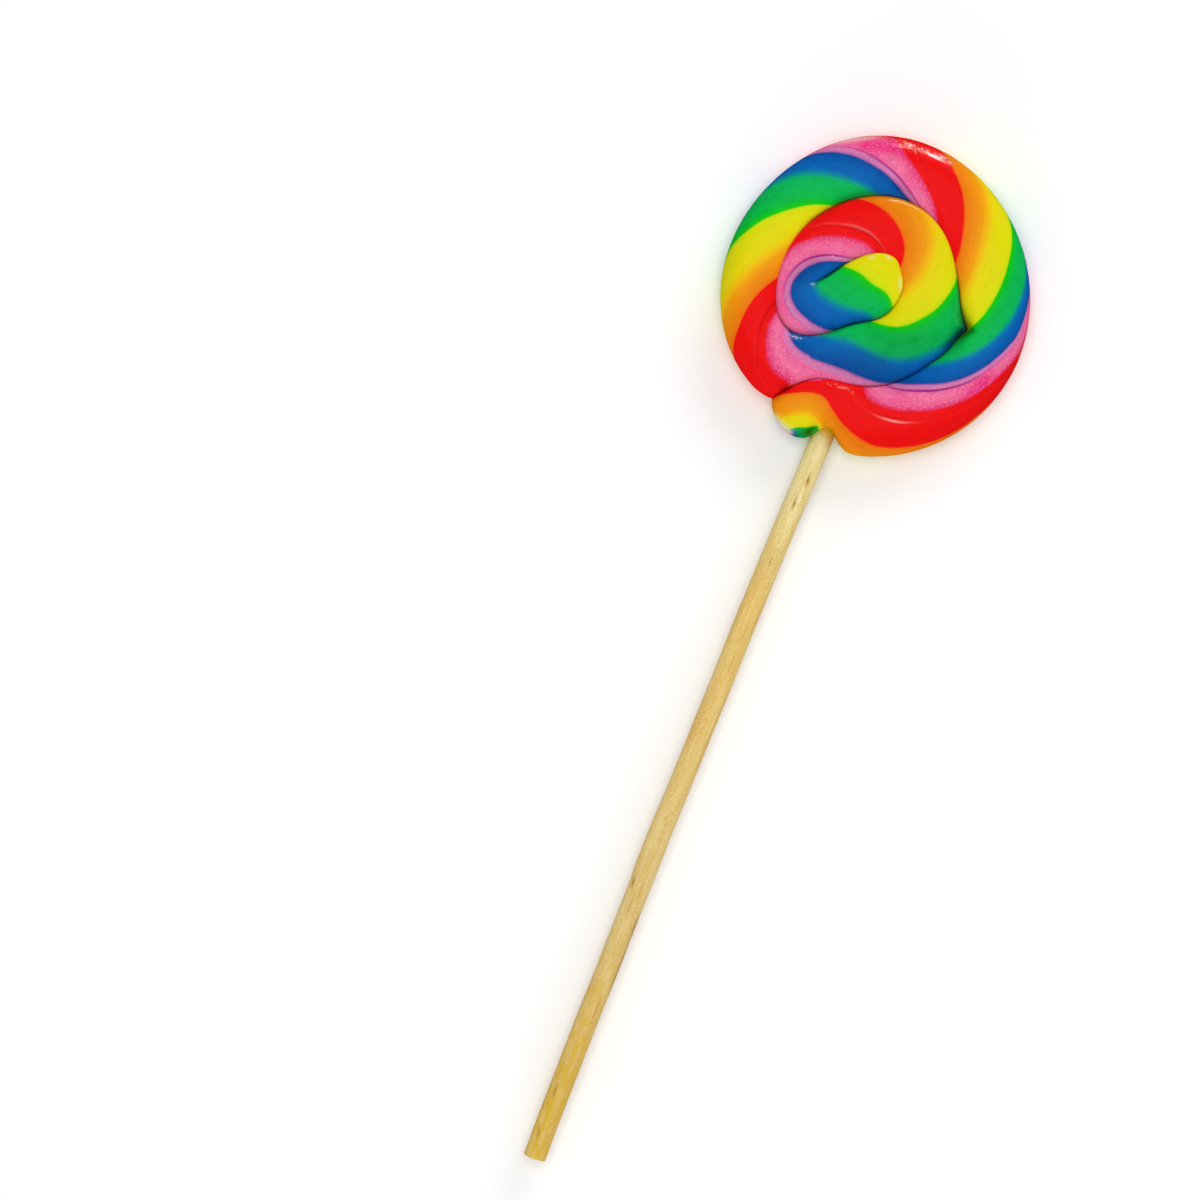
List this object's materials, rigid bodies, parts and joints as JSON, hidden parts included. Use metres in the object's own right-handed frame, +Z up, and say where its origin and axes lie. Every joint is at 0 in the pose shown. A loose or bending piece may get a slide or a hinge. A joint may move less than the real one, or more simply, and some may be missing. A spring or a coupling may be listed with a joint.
{
  "type": "swirl lollipop",
  "caption": "Large flat swirl lollipop: a rope of striped hard candy coiled on itself, on a long round wooden stick, lying on its back.",
  "frame": {"origin": "on the flat underside of the candy, the surface it rests on, under the middle of the coil and on the stick's line", "axes": "+Y along the stick from its free end to the candy, +Z up from the flat underside to the swirled side that is seen, +X to the right with the stick pointing at the viewer"},
  "size_m": [0.0689, 0.2417, 0.0122],
  "materials": {
    "candy": "glossy hard candy with soft-edged stripes of red, orange, yellow, green, blue and pink that wind along the rope",
    "wood": "bare pale birch, lightly sanded, with fine brown streaks of grain"
  },
  "bodies": {
    "root": {"candy": "candy", "stick": "wood"}
  },
  "joints": []
}
